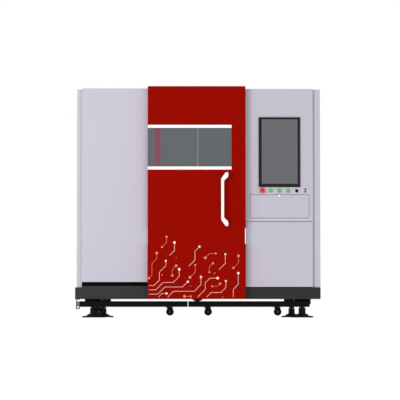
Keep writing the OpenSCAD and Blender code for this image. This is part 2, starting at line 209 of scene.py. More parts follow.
M["window"] = material("smoked_window", lin(103, 107, 110), rough=0.10, spec=0.25, var=0.02, var_scale=1.5,
                       grain=25, bump=0.0, rvar=0.03, coat=0.2, coat_rough=0.03, alpha=0.86)
M["white"] = material("white_trim", lin(255, 254, 253), rough=0.30, spec=0.40, var=0.006, var_scale=4,
                      grain=300, bump=0.04, depth=0.0002, crevice_shade=0.06, crevice_shade_col=lin(180, 174, 174), crevice_shade_dist=0.012)
M["yellow"] = material("yellow_plastic", lin(230, 186, 30), rough=0.45, spec=0.3, var=0.04, grain=900, bump=0.15, depth=0.0002)
M["redplastic"] = material("red_plastic", lin(236, 36, 32), rough=0.28, spec=0.35, var=0.03, var_scale=20, grain=700,
                           bump=0.06, depth=0.0002, crevice_shade=0.3, crevice_shade_dist=0.01)
M["green"] = material("green_plastic", lin(72, 200, 70), rough=0.25, spec=0.35, var=0.03, var_scale=20, grain=700,
                      bump=0.06, depth=0.0002, crevice_shade=0.3, crevice_shade_dist=0.01)
M["alu"] = material("machined_aluminium", lin(200, 201, 204), rough=0.34, spec=0.5, metal=1.0, var=0.04, var_scale=6,
                    grain=70, stretch=(16, 1, 16), bump=0.05, depth=0.0002, rvar=0.10)
M["anodised"] = material("head_anodised", lin(40, 41, 46), rough=0.38, spec=0.4, metal=0.6, var=0.06, var_scale=10,
                         grain=600, bump=0.10, depth=0.0002, wear=0.4, wear_col=lin(130, 130, 134))
M["copper"] = material("nozzle_copper", lin(196, 120, 78), rough=0.28, metal=1.0, var=0.08, var_scale=40, grain=300,
                       bump=0.05, depth=0.0002)
M["ring"] = material("button_ring", lin(178, 178, 184), rough=0.35, spec=0.4, metal=0.3, var=0.05, var_scale=30, grain=600,
                     bump=0.06, depth=0.0002)
M["lamp"] = material("lamp_cover", lin(240, 242, 246), rough=0.4, spec=0.3, var=0.02, var_scale=6, grain=400, bump=0.04, depth=0.0002)
lamp_b = next(n for n in M["lamp"].node_tree.nodes if n.type == "BSDF_PRINCIPLED")
lamp_b.inputs["Emission Color"].default_value = (0.94, 0.97, 1.0, 1.0)
lamp_b.inputs["Emission Strength"].default_value = 3.0
M["brass"] = material("inlet_brass", lin(186, 152, 84), rough=0.30, metal=1.0, var=0.08, var_scale=30, grain=300,
                      bump=0.05, depth=0.0002)
M["foot"] = material("foot_paint", lin(38, 38, 39), rough=0.55, spec=0.06, var=0.12, var_scale=9.0,
                     grain=240, bump=0.14, depth=0.0005, crevice_shade=0.2, wear=0.15, wear_col=lin(80, 80, 82))
M["zincdark"] = material("zinc_black", lin(58, 58, 60), rough=0.4, spec=0.4, metal=0.7, var=0.1, var_scale=20, grain=400,
                         bump=0.08, depth=0.0002)
M["keycap"] = material("keycap", lin(44, 44, 47), rough=0.55, spec=0.2, var=0.06, var_scale=18, grain=1200, bump=0.22, depth=0.0002)
M["fitting"] = material("fitting_grey", lin(108, 108, 110), rough=0.5, spec=0.2, var=0.08, var_scale=12, grain=300,
                        bump=0.12, depth=0.0003, crevice_shade=0.3, crevice_shade_dist=0.02)
M["trace_white"] = material("trace_white", lin(250, 226, 214), rough=0.5, spec=0.15, var=0.03, var_scale=8, grain=300,
                            bump=0.03, depth=0.0001)
M["trace_pink"] = material("trace_pink", lin(232, 138, 112), rough=0.5, spec=0.15, var=0.04, var_scale=8, grain=300,
                           bump=0.03, depth=0.0001)

# painted light: a faint red vertical band painted into the smoked pane's colour near its left end, standing in for the
# red metal seen through the glass rather than a tint of the glass itself
wn_t = M["window"].node_tree
wn_b = next(n for n in wn_t.nodes if n.type == "BSDF_PRINCIPLED")
wn_src = wn_b.inputs["Base Color"].links[0].from_socket
wn_tc = next(n for n in wn_t.nodes if n.type == "TEX_COORD")
wn_sep = node(wn_t, "ShaderNodeSeparateXYZ", -900, 900)
wn_t.links.new(wn_tc.outputs["Object"], wn_sep.inputs[0])
wn_up = node(wn_t, "ShaderNodeMapRange", -700, 950)
wn_up.interpolation_type = "SMOOTHSTEP"
wn_up.inputs["From Min"].default_value = -0.376
wn_up.inputs["From Max"].default_value = -0.343
wn_t.links.new(wn_sep.outputs["X"], wn_up.inputs["Value"])
wn_dn = node(wn_t, "ShaderNodeMapRange", -700, 700)
wn_dn.interpolation_type = "SMOOTHSTEP"
wn_dn.inputs["From Min"].default_value = -0.334
wn_dn.inputs["From Max"].default_value = -0.288
wn_dn.inputs["To Min"].default_value = 1.0
wn_dn.inputs["To Max"].default_value = 0.0
wn_t.links.new(wn_sep.outputs["X"], wn_dn.inputs["Value"])
wn_painted_band = node(wn_t, "ShaderNodeMath", -480, 850, operation="MULTIPLY")
wn_t.links.new(wn_up.outputs["Result"], wn_painted_band.inputs[0])
wn_t.links.new(wn_dn.outputs["Result"], wn_painted_band.inputs[1])
wn_painted_band_mix = node(wn_t, "ShaderNodeMix", -100, 850)
wn_painted_band_mix.data_type = "RGBA"
wn_painted_band_mix.inputs["B"].default_value = lin(134, 78, 97)
wn_t.links.new(wn_painted_band.outputs[0], wn_painted_band_mix.inputs["Factor"])
wn_t.links.new(wn_src, wn_painted_band_mix.inputs["A"])
wn_t.links.new(wn_painted_band_mix.outputs["Result"], wn_b.inputs["Base Color"])

SLOT = {"panel_paint": "panel", "red_paint": "red", "base_paint": "base", "black_paint": "black",
        "caster_rubber": "tread", "seal_rubber": "seal", "bright_steel": "steel", "galvanised_steel": "zinc",
        "source_paint": "source", "black_plastic": "blackplastic", "screen_glass": "screen",
        "smoked_window": "window", "white_trim": "white", "yellow_plastic": "yellow", "red_plastic": "redplastic",
        "green_plastic": "green", "machined_aluminium": "alu", "head_anodised": "anodised"}
NODE_SLOT = {s["node"]: s["material_slot"] for s in frame["record"]["subparts"]}
BEVEL = {"door_skin": 0.0035, "plinth": 0.004, "left_front_panel": 0.0012, "console_fascia": 0.0009,
         "service_door": 0.0012, "left_side_panel": 0.0008, "right_side_panel": 0.0008, "roof_panel": 0.0008,
         "rear_panel": 0.0005, "drawer_box": 0.0018, "monitor_housing": 0.0022, "monitor_screen": 0.0004,
         "window_panes": 0.0012, "window_stripes": 0.0010, "base_rails": 0.0012, "foot_brackets": 0.0025,
         "laser_source": 0.003, "bed_frame": 0.003, "gantry_beam": 0.002}
OWN = {"rail_end_fitting": "fitting", "reset_button": "black"}
for name, obj in NODES.items():
    obj.data.materials.clear()
    obj.data.materials.append(M[OWN.get(name) or SLOT[NODE_SLOT[name]]])
    weld = obj.modifiers.new("weld", "WELD")
    weld.merge_threshold = 0.00002
    bev = obj.modifiers.new("edge", "BEVEL")
    bev.width = BEVEL.get(name, 0.0009)
    bev.segments = 2
    bev.limit_method = "ANGLE"
    bev.angle_limit = math.radians(40)
    bev.harden_normals = False
    bev.use_clamp_overlap = True


# ------------------------------------------------------------------ mesh tools
def finish_obj(name, bm, mat, body, smooth=40.0):
    me = bpy.data.meshes.new(name)
    bmesh.ops.remove_doubles(bm, verts=bm.verts, dist=1e-6)
    bmesh.ops.recalc_face_normals(bm, faces=bm.faces)
    bm.to_mesh(me)
    bm.free()
    for p in me.polygons:
        p.use_smooth = True
    me.set_sharp_from_angle(angle=math.radians(smooth))
    ob = bpy.data.objects.new(name, me)
    bpy.context.scene.collection.objects.link(ob)
    me.materials.append(M[mat])
    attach(ob, body)
    return ob


def add_box(bm, lo, hi, bevel=0.0, seg=2):
    sub = bmesh.new()
    bmesh.ops.create_cube(sub, size=1.0)
    c = [(a + b) / 2 for a, b in zip(lo, hi)]
    s = [abs(b - a) for a, b in zip(lo, hi)]
    for v in sub.verts:
        v.co = Vector((c[0] + v.co.x * s[0], c[1] + v.co.y * s[1], c[2] + v.co.z * s[2]))
    if bevel:
        bmesh.ops.bevel(sub, geom=sub.edges[:], offset=min(bevel, min(s) * 0.45), segments=seg,
                        profile=0.5, affect="EDGES")
    join(bm, sub)


def join(bm, sub):
    me = bpy.data.meshes.new("tmp_join")
    sub.to_mesh(me)
    sub.free()
    bm.from_mesh(me)
    bpy.data.meshes.remove(me)


def add_prism(bm, pts, place, depth, bevel=0.0, seg=2):
    """Closed outline pts (u, v) pushed by depth; place maps (u, v, w) to a point."""
    sub = bmesh.new()
    a = [sub.verts.new(place(u, v, 0.0)) for u, v in pts]
    b = [sub.verts.new(place(u, v, depth)) for u, v in pts]
    n = len(pts)
    sub.faces.new(a[::-1])
    sub.faces.new(b)
    for i in range(n):
        j = (i + 1) % n
        sub.faces.new((a[i], a[j], b[j], b[i]))
    bmesh.ops.recalc_face_normals(sub, faces=sub.faces)
    if bevel:
        es = [e for e in sub.edges if len(e.link_faces) == 2 and e.calc_face_angle(0.0) > math.radians(40)]
        bmesh.ops.bevel(sub, geom=es, offset=bevel, segments=seg, profile=0.5, affect="EDGES")
    join(bm, sub)


def add_lathe(bm, prof, place, steps=48):
    """prof = [(r, h)...] turned about the h axis; place maps (x, y, h)."""
    sub = bmesh.new()
    rings = []
    for r, h in prof:
        if r < 1e-7:
            rings.append([sub.verts.new(place(0.0, 0.0, h))])
        else:
            rings.append([sub.verts.new(place(r * math.cos(2 * math.pi * i / steps),
                                              r * math.sin(2 * math.pi * i / steps), h)) for i in range(steps)])
    for p, q in zip(rings, rings[1:]):
        for i in range(steps):
            j = (i + 1) % steps
            if len(p) == 1 and len(q) == 1:
                break
            if len(p) == 1:
                sub.faces.new((p[0], q[j], q[i]))
            elif len(q) == 1:
                sub.faces.new((p[i], p[j], q[0]))
            else:
                sub.faces.new((p[i], p[j], q[j], q[i]))
    bmesh.ops.recalc_face_normals(sub, faces=sub.faces)
    join(bm, sub)


def front(x, z, y):
    """place() for things on a face that looks towards -Y: w runs towards the viewer."""
    return lambda u, v, w: Vector((x + u, y - w, z + v))


def rear(x, z, y):
    return lambda u, v, w: Vector((x - u, y + w, z + v))


def left(y, z, x):
    return lambda u, v, w: Vector((x - w, y + u, z + v))


def right(y, z, x):
    return lambda u, v, w: Vector((x + w, y + u, z + v))


def up(x, y, z):
    return lambda u, v, w: Vector((x + u, y + v, z + w))


def rrect(w, h, r, seg=5):
    pts = []
    for cx, cy, a0 in ((w / 2 - r, h / 2 - r, 0), (-w / 2 + r, h / 2 - r, 90),
                       (-w / 2 + r, -h / 2 + r, 180), (w / 2 - r, -h / 2 + r, 270)):
        for i in range(seg + 1):
            a = math.radians(a0 + 90.0 * i / seg)
            pts.append((cx + r * math.cos(a), cy + r * math.sin(a)))
    return pts


def disc(r, n=20):
    return [(r * math.cos(2 * math.pi * i / n), r * math.sin(2 * math.pi * i / n)) for i in range(n)]


# ------------------------------------------------------------------ pull handle
def sweep(bm, path, prof, up_axis):
    """prof (a, b) swept along path: a along the side, b along up_axis."""
    sub = bmesh.new()
    n = len(path)
    rings = []
    for i, p in enumerate(path):
        t = (path[min(i + 1, n - 1)] - path[max(i - 1, 0)]).normalized()
        side = t.cross(up_axis).normalized()
        rings.append([sub.verts.new(p + side * a + up_axis * b) for a, b in prof])
    k = len(prof)
    for r0, r1 in zip(rings, rings[1:]):
        for i in range(k):
            j = (i + 1) % k
            sub.faces.new((r0[i], r0[j], r1[j], r1[i]))
    sub.faces.new(rings[0][::-1])
    sub.faces.new(rings[-1])
    bmesh.ops.recalc_face_normals(sub, faces=sub.faces)
    join(bm, sub)


def rounded_path(pts, r, seg=8):
    out = [Vector(pts[0])]
    for a, b, c in zip(pts, pts[1:], pts[2:]):
        a, b, c = Vector(a), Vector(b), Vector(c)
        d0, d1 = (a - b).normalized(), (c - b).normalized()
        ang = d0.angle(d1)
        t = min(r / math.tan(ang / 2), (a - b).length * 0.49, (c - b).length * 0.49)
        p0, p1 = b + d0 * t, b + d1 * t
        for i in range(seg + 1):
            s = i / seg
            out.append((1 - s) ** 2 * p0 + 2 * s * (1 - s) * b + s ** 2 * p1)
    out.append(Vector(pts[-1]))
    return out


def outline(pts, seg=7):
    """Corner points (u, v, r) joined up with rounded corners."""
    out = []
    n = len(pts)
    for i in range(n):
        p0, p1, p2 = Vector(pts[i - 1][:2]), Vector(pts[i][:2]), Vector(pts[(i + 1) % n][:2])
        r = pts[i][2]
        d0, d1 = (p0 - p1).normalized(), (p2 - p1).normalized()
        half = d0.angle(d1) / 2
        a, b = p1 + d0 * (r / math.tan(half)), p1 + d1 * (r / math.tan(half))
        c = p1 + (d0 + d1).normalized() * (r / math.sin(half))
        va, vb = a - c, b - c
        turn = va.angle(vb) * (1 if va.x * vb.y - va.y * vb.x > 0 else -1)
        for k in range(seg + 1):
            q = turn * k / seg
            out.append((c.x + va.x * math.cos(q) - va.y * math.sin(q), c.y + va.x * math.sin(q) + va.y * math.cos(q)))
    return out


HY = -1.041
bm = bmesh.new()
bar = outline([(0.253, 1.214, 0.0026), (0.233, 1.214, 0.0040), (0.195, 1.162, 0.026), (0.195, 0.816, 0.026),
               (0.233, 0.764, 0.0040), (0.253, 0.764, 0.0026), (0.253, 0.801, 0.0050), (0.219, 0.835, 0.014),
               (0.219, 1.143, 0.014), (0.253, 1.177, 0.0050)])
add_prism(bm, bar, front(0, 0, HY - 0.034), 0.025, 0.0024, 3)
for z in (0.783, 1.195):
    add_lathe(bm, [(0.0, 0.0), (0.0150, 0.0), (0.0155, 0.002), (0.0135, 0.0045), (0.0098, 0.006), (0.0098, 0.0355), (0.0, 0.0355)],
              front(0.242, z, HY), 32)
handle = finish_obj("handle_grip", bm, "white", "door")
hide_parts("door_handle")


# ------------------------------------------------------------------ door front
def ribbon(bm, pts, width, place, depth):
    """A flat line of even width along pts (u, v), with mitred bends."""
    P = [Vector((u, v)) for u, v in pts]
    n = len(P)
    lft, rgt = [], []
    for i, p in enumerate(P):
        d0 = (P[i] - P[i - 1]).normalized() if i else (P[1] - P[0]).normalized()
        d1 = (P[i + 1] - P[i]).normalized() if i < n - 1 else d0
        n0, n1 = Vector((-d0.y, d0.x)), Vector((-d1.y, d1.x))
        b = (n0 + n1).normalized()
        k = width / 2 / max(b.dot(n1), 0.3)
        lft.append(p + b * k)
        rgt.append(p - b * k)
    sub = bmesh.new()
    lo = [[sub.verts.new(place(p.x, p.y, 0.0)) for p in row] for row in (lft, rgt)]
    hi = [[sub.verts.new(place(p.x, p.y, depth)) for p in row] for row in (lft, rgt)]
    for i in range(n - 1):
        sub.faces.new((hi[0][i], hi[0][i + 1], hi[1][i + 1], hi[1][i]))
        sub.faces.new((lo[0][i], lo[1][i], lo[1][i + 1], lo[0][i + 1]))
        sub.faces.new((hi[0][i], lo[0][i], lo[0][i + 1], hi[0][i + 1]))
        sub.faces.new((hi[1][i], hi[1][i + 1], lo[1][i + 1], lo[1][i]))
    for i in (0, n - 1):
        sub.faces.new((hi[0][i], hi[1][i], lo[1][i], lo[0][i]))
    bmesh.ops.recalc_face_normals(sub, faces=sub.faces)
    join(bm, sub)


# printed decoration: right-angled and 45 degree runs with round pads
WHITE_RUNS = [
    [(-408, 196), (-336, 196), (-276, 256), (-128, 256), (-84, 300)],
    [(-408, 232), (-352, 232), (-290, 294), (-206, 294), (-156, 344), (-156, 404)],
    [(-408, 268), (-366, 268), (-322, 312), (-322, 380), (-268, 434), (-268, 474)],
    [(-252, 172), (-204, 220), (-30, 220), (26, 276), (26, 340)],
    [(-2, 172), (62, 236), (62, 290), (102, 330), (166, 330)],
    [(74, 172), (112, 210), (192, 210), (234, 252), (234, 306)],
    [(-330, 172), (-300, 202), (-262, 202)],
    [(296, 172), (296, 236), (338, 278), (338, 372)],
    [(176, 400), (230, 454), (230, 530)],
    [(-76, 430), (-24, 482), (-24, 556), (14, 594)],
    [(-236, 520), (-196, 560), (-196, 628)],
]
PINK_RUNS = [
    [(-408, 330), (-384, 354), (-384, 452), (-344, 492), (-344, 540)],
    [(-66, 336), (-22, 380), (-22, 440)],
    [(120, 262), (164, 262), (186, 284)],
    [(-214, 352), (-214, 402), (-182, 434)],
    [(-112, 178), (-60, 178)],
    [(96, 380), (96, 424), (126, 454)],
    [(298, 416), (340, 458), (340, 516)],
    [(62, 500), (98, 536), (150, 536)],
    [(-300, 590), (-262, 628), (-262, 676)],
]
for tag, runs, mat in (("white", WHITE_RUNS, "trace_white"), ("pink", PINK_RUNS, "trace_pink")):
    bm = bmesh.new()
    for k, run in enumerate(runs):
        ribbon(bm, [(u / 1000, v / 1000) for u, v in run], 0.0029, front(0, 0, HY), 0.0003)
        ends = [run[-1]] if tag == "white" else [run[0], run[-1]]
        for j, (u, v) in enumerate(ends):
            add_prism(bm, disc((0.0095, 0.0112, 0.0082)[(k + j) % 3], 28), front(u / 1000, v / 1000, HY), 0.0005)
    for u, v, r in ((-300, 356, 5), (-60, 262, 4), (140, 372, 5), (206, 172, 4), (-180, 500, 4)) if tag == "pink" else ():
        add_prism(bm, disc(r / 1000, 20), front(u / 1000, v / 1000, HY), 0.0004)
    finish_obj("door_print_" + tag, bm, mat, "door")


# ------------------------------------------------------------------ small shared shapes
def cap_screw(bm, place, r, steps=14):
    add_lathe(bm, [(r, 0.0), (r, 0.38 * r), (0.82 * r, 0.62 * r), (0.44 * r, 0.64 * r), (0.40 * r, 0.22 * r), (0.0, 0.22 * r)],
              place, steps)


def hexagon(r):
    return [(r * math.cos(math.pi * i / 3), r * math.sin(math.pi * i / 3)) for i in range(6)]


def latch(bm, place):
    """Quarter-turn fastener: round head with a raised wing."""
    add_lathe(bm, [(0.017, 0.0), (0.017, 0.0018), (0.0155, 0.0034), (0.0118, 0.0036), (0.0108, 0.0016), (0.0, 0.0016)], place, 28)
    add_prism(bm, rrect(0.019, 0.0052, 0.002, 3), lambda u, v, w: place(0.7071 * (u - v), 0.7071 * (u + v), 0.0014 + w), 0.0024, 0.0006, 1)


def louvre(bm, place, w, h, d):
    """Pressed louvre: a hood that opens downwards, with ends that run out."""
    prof = [(-h / 2, 0.0), (-h / 2, 0.92), (-0.46 * h, 1.0), (-0.30 * h, 0.98), (0.0, 0.72), (0.3 * h, 0.26), (h / 2, 0.0)]
    rows = [(-w / 2, 0.02), (-w / 2 + 0.22 * h, 0.55), (-w / 2 + 0.55 * h, 0.88), (-w / 2 + h, 1.0),
            (w / 2 - h, 1.0), (w / 2 - 0.55 * h, 0.88), (w / 2 - 0.22 * h, 0.55), (w / 2, 0.02)]
    sub = bmesh.new()
    rings = [[sub.verts.new(place(u, v, q * k * d)) for v, q in prof] for u, k in rows]
    n = len(prof)
    for r0, r1 in zip(rings, rings[1:]):
        for i in range(n):
            j = (i + 1) % n
            sub.faces.new((r0[i], r0[j], r1[j], r1[i]))
    sub.faces.new(rings[0][::-1])
    sub.faces.new(rings[-1])
    bmesh.ops.recalc_face_normals(sub, faces=sub.faces)
    join(bm, sub)


def moved(place, du, dv, dw=0.0):
    return lambda u, v, w: place(du + u, dv + v, dw + w)


def ring_prism(bm, outer, inner, place, depth):
    """Flat frame between two outlines with the same number of points."""
    sub = bmesh.new()
    n = len(outer)
    V = [[sub.verts.new(place(u, v, w)) for u, v in pts] for pts, w in ((outer, 0.0), (outer, depth), (inner, depth), (inner, 0.0))]
    for r0, r1 in zip(V, V[1:] + V[:1]):
        for i in range(n):
            j = (i + 1) % n
            sub.faces.new((r0[i], r0[j], r1[j], r1[i]))
    bmesh.ops.recalc_face_normals(sub, faces=sub.faces)
    es = [e for e in sub.edges if e.calc_face_angle(0.0) > math.radians(60) and
          any(e.verts[0] in V[k] and e.verts[1] in V[k] for k in (1, 2))]
    bmesh.ops.bevel(sub, geom=es, offset=min(0.0008, depth * 0.3), segments=2, profile=0.5, affect="EDGES")
    join(bm, sub)


def fan(bm_grille, bm_back, place, r):
    """Round finger guard over a dark opening."""
    add_prism(bm_back, disc(r * 0.99, 40), place, 0.0012)
    for k in range(1, 6):
        q = r * k / 5.0
        add_lathe(bm_grille, [(q - 0.0016, 0.002), (q - 0.0010, 0.0052), (q + 0.0010, 0.0052), (q + 0.0016, 0.002), (q - 0.0016, 0.002)], place, 44)
    for k in range(4):
        a = math.pi / 4 + k * math.pi / 2
        ca, sa = math.cos(a), math.sin(a)
        add_prism(bm_grille, [(ca * 0.1 * r - sa * 0.0018, sa * 0.1 * r + ca * 0.0018), (ca * 0.1 * r + sa * 0.0018, sa * 0.1 * r - ca * 0.0018),
                              (ca * r * 1.12 + sa * 0.0018, sa * r * 1.12 - ca * 0.0018), (ca * r * 1.12 - sa * 0.0018, sa * r * 1.12 + ca * 0.0018)],
                  place, 0.0030)
        cap_screw(bm_grille, moved(place, ca * r * 1.15, sa * r * 1.15), 0.0045, 12)


# ------------------------------------------------------------------ levelling feet and casters
for tag, fx, fy in (("front_left", -0.879, -0.875), ("front_right", 0.879, -0.875),
                    ("rear_left", -0.879, 0.945), ("rear_right", 0.879, 0.945)):
    bm = bmesh.new()
    prof = [(0.0, 0.0), (0.0955, 0.0), (0.0966, 0.0004), (0.097, 0.0014), (0.097, 0.0098), (0.0955, 0.0128), (0.090, 0.0142),
            (0.064, 0.0172), (0.057, 0.0190), (0.0535, 0.0225), (0.0520, 0.0270), (0.0475, 0.0300), (0.0360, 0.0318),
            (0.0312, 0.0350), (0.0295, 0.0410), (0.0295, 0.0800), (0.0280, 0.0832), (0.0140, 0.0838)]
    z = 0.084
    while z < 0.1525:
        prof += [(0.0106, z), (0.0120, z + 0.0010)]
        z += 0.0020
    prof += [(0.0100, 0.1540), (0.0, 0.1540)]
    add_lathe(bm, prof, up(fx, fy, 0.0), 56)
    add_prism(bm, hexagon(0.0250), up(fx, fy, 0.0845), 0.0140, 0.0012)
    piece = finish_obj("levelling_foot_" + tag, bm, "foot", "foot_" + tag, 35.0)
    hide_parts("foot_" + tag)

CASTERS = (-0.836, -0.240, 0.080, 0.663)
for i, x in enumerate(CASTERS, 1):
    bm = bmesh.new()
    for s in (-1, 1):
        place = front(x + 0.006, 0.049, -0.965 - 0.0205) if s < 0 else rear(x + 0.006, 0.049, -0.965 + 0.0205)
        add_lathe(bm, [(0.0, 0.0), (0.0105, 0.0), (0.0105, 0.0012), (0.0, 0.0012)], place, 24)
        add_prism(bm, hexagon(0.0088), moved(place, 0, 0, 0.0008), 0.0050, 0.0007, 1)
    finish_obj("caster_bolts_%d" % i, bm, "zincdark", "fork_%d" % i)
    bm = bmesh.new()
    add_lathe(bm, [(0.0262, 0.0836), (0.0282, 0.0848), (0.0282, 0.0880), (0.0262, 0.0894)], lambda u, v, w, x=x: Vector((x + u, -0.965 + v, w)), 40)
    finish_obj("caster_ring_%d" % i, bm, "black", "fork_%d" % i)
    bm = bmesh.new()
    for s in (-1, 1):
        place = front(x + 0.006, 0.049, -0.965 - 0.0088) if s < 0 else rear(x + 0.006, 0.049, -0.965 + 0.0088)
        for k in range(6):
            a = k * math.pi / 3
            add_prism(bm, outline([(0.0135, -0.0016, 0.0005), (0.0212, -0.0022, 0.0005), (0.0212, 0.0022, 0.0005), (0.0135, 0.0016, 0.0005)], 1),
                      lambda u, v, w, a=a, place=place: place(u * math.cos(a) - v * math.sin(a), u * math.sin(a) + v * math.cos(a), w), 0.0022, 0.0004, 1)
    finish_obj("caster_ribs_%d" % i, bm, "tread", "wheel_%d" % i)

bm = bmesh.new()
add_box(bm, (0.9335, -0.9848, 0.0902), (0.9375, -0.9452, 0.1378), 0.001)
finish_obj("rail_end_cap", bm, "blackplastic", "enclosure")

# ------------------------------------------------------------------ side covers
for tag, place, body_u in (("left", left(0, 0, -1.017), 1), ("right", right(0, 0, 1.029), 1)):
    bm = bmesh.new()
    lat = bmesh.new()
    for y0, y1 in ((-0.925, 0.040), (0.046, 1.038)):
        add_prism(bm, rrect(y1 - y0, 1.592, 0.004, 3), moved(place, (y0 + y1) / 2, 1.097), 0.0015, 0.0006)
    # lift-off covers held by quarter-turn fasteners
    covers = ((-0.845, -0.070, 0.420, 1.770),) if tag == "left" else ((-0.845, -0.070, 0.820, 1.770), (-0.845, -0.070, 0.420, 0.790))
    for y0, y1, z0, z1 in covers:
        add_prism(bm, rrect(y1 - y0, z1 - z0, 0.014, 6), moved(place, (y0 + y1) / 2, (z0 + z1) / 2, 0.0014), 0.0040, 0.0016, 3)
        zs = (z0 + 0.05, z1 - 0.05) if z1 - z0 < 0.5 else (z0 + 0.06, (z0 + z1) / 2, z1 - 0.06)
        for y in (y0 + 0.045, y1 - 0.045):
            for z in zs:
                latch(lat, moved(place, y, z, 0.0053))
        # cup pulls
        for y in ((y0 + y1) / 2 - 0.22, (y0 + y1) / 2 + 0.22):
            zc = z1 - 0.16 if z1 - z0 > 0.5 else (z0 + z1) / 2
            ring_prism(lat, rrect(0.130, 0.062, 0.012, 5), rrect(0.104, 0.038, 0.008, 5), moved(place, y, zc, 0.0053), 0.0040)
            add_prism(lat, rrect(0.108, 0.042, 0.008, 5), moved(place, y, zc, 0.0050), 0.0010)
            add_prism(lat, rrect(0.104, 0.012, 0.003, 3), moved(place, y, zc + 0.014, 0.0055), 0.0034, 0.0006, 1)
    # louvre banks
    banks = ((0.33, 0.47), (0.33, 1.40), (0.70, 0.47), (0.70, 1.40)) if tag == "left" else ((0.33, 1.40), (0.70, 1.40))
    for yc, zb in banks:
        for k in range(12):
            louvre(bm, moved(place, yc, zb + k * 0.026, 0.0014), 0.30, 0.017, 0.0075)
    # edge screws
    for y0, y1 in ((-0.925, 0.040), (0.046, 1.038)):
        for y in (max(y0 + 0.022, -0.885), y1 - 0.022):
            for k in range(7):
                cap_screw(lat, moved(place, y, 0.345 + k * 0.2505, 0.0014), 0.0062)
    finish_obj("side_covers_" + tag, bm, "panel", "enclosure", 35.0)
    finish_obj("side_fasteners_" + tag, lat, "blackplastic", "enclosure", 35.0)
    if tag == "right":
        gr, bk, fr = bmesh.new(), bmesh.new(), bmesh.new()
        for yc in (0.36, 0.66):
            pl = moved(place, yc, 0.62, 0.0014)
            ring_prism(fr, rrect(0.236, 0.236, 0.018, 10), rrect(0.196, 0.196, 0.098, 10), pl, 0.0050)
            fan(gr, bk, moved(pl, 0, 0, 0.0006), 0.094)
        finish_obj("fan_guards", gr, "steel", "enclosure")
        finish_obj("fan_openings", bk, "blackplastic", "enclosure")
        finish_obj("fan_frames", fr, "blackplastic", "enclosure")

# ------------------------------------------------------------------ rear
RP = lambda x, z: rear(x, z, 1.055)
bm, lat, scr = bmesh.new(), bmesh.new(), bmesh.new()
for x0, x1, z0, z1 in ((-0.905, 0.300, 0.800, 1.790), (-0.905, -0.500, 0.330, 0.760)):
    add_prism(bm, rrect(x1 - x0, z1 - z0, 0.014, 6), RP((x0 + x1) / 2, (z0 + z1) / 2), 0.0042, 0.0016, 3)
    n = 4 if x1 - x0 > 0.8 else 2
    for k in range(n):
        for z in (z0 + 0.045, z1 - 0.045):
            latch(lat, rear(x0 + 0.05 + k * (x1 - x0 - 0.10) / (n - 1), z, 1.0590))
for z in (0.568, 1.468):
    ring_prism(bm, rrect(0.420, 0.372, 0.014, 6), rrect(0.356, 0.308, 0.006, 6), RP(0.730, z), 0.0060)
    for u in (-0.194, 0.0, 0.194):
        for v in (-0.170, 0.170):
            cap_screw(scr, rear(0.730 + u, z + v, 1.0605), 0.0055)
for k in range(12):
    for zb in (0.420, 1.320):
        louvre(bm, RP(0.730, zb + 0.010 + k * 0.026), 0.340, 0.014, 0.0095)
for k in range(9):
    for x in (-0.990, 1.003):
        cap_screw(scr, RP(x, 0.310 + k * 0.195), 0.0062)
for k in range(10):
    for z in (0.290, 1.884):
        cap_screw(scr, RP(-0.90 + k * 0.2006, z), 0.0062)
for k in range(8):
    a = k * math.pi / 4
    place = rear(-0.300 + 0.116 * math.cos(a), 0.520 + 0.116 * math.sin(a), 1.058)
    add_lathe(scr, [(0.0, 0.0), (0.0088, 0.0), (0.0088, 0.0012), (0.0, 0.0012)], place, 20)
    add_prism(scr, hexagon(0.0072), moved(place, 0, 0, 0.0010), 0.0046, 0.0006, 1)
finish_obj("rear_covers", bm, "panel", "enclosure", 35.0)
finish_obj("rear_fasteners", lat, "blackplastic", "enclosure", 35.0)
finish_obj("rear_screws", scr, "zinc", "enclosure", 35.0)
# rolled bead on the exhaust spigot
bm = bmesh.new()
add_lathe(bm, [(0.0998, 0.0880), (0.1020, 0.0895), (0.1028, 0.0920), (0.1020, 0.0945), (0.0998, 0.0960)],
          lambda u, v, w: Vector((-0.300 - u, 0.990 + w, 0.520 + v)), 72)
finish_obj("spigot_bead", bm, "zinc", "enclosure")
# inlets: mains gland and two gas fittings on a small plate
bm, br, pl = bmesh.new(), bmesh.new(), bmesh.new()
add_prism(pl, rrect(0.300, 0.130, 0.010, 4), RP(0.200, 0.420), 0.0030, 0.0010)
for u, v in ((-0.138, 0.053), (0.138, 0.053), (-0.138, -0.053), (0.138, -0.053)):
    cap_screw(pl, rear(0.200 + u, 0.420 + v, 1.058), 0.0050)
place = rear(0.285, 0.420, 1.058)
add_prism(bm, hexagon(0.0290), place, 0.0120, 0.0012)
add_lathe(bm, [(0.0235, 0.011), (0.0235, 0.0160), (0.0225, 0.0180), (0.0235, 0.0195), (0.0235, 0.0300), (0.0190, 0.0370), (0.0140, 0.0385),
               (0.0130, 0.0360), (0.0130, 0.0240), (0.0, 0.0240)], place, 40)
for x in (0.110, 0.180):
    place = rear(x, 0.420, 1.058)
    add_prism(br, hexagon(0.0150), place, 0.0080, 0.0008)
    add_lathe(br, [(0.0105, 0.0075), (0.0105, 0.0120), (0.0085, 0.0130), (0.0085, 0.0190), (0.0102, 0.0205), (0.0085, 0.0225), (0.0102, 0.0245),
                   (0.0085, 0.0265), (0.0095, 0.0280), (0.0070, 0.0335), (0.0048, 0.0335), (0.0045, 0.0200), (0.0, 0.0200)], place, 32)
finish_obj("inlet_plate", pl, "zinc", "enclosure", 35.0)
finish_obj("mains_gland", bm, "blackplastic", "enclosure", 35.0)
finish_obj("gas_inlets", br, "brass", "enclosure", 35.0)

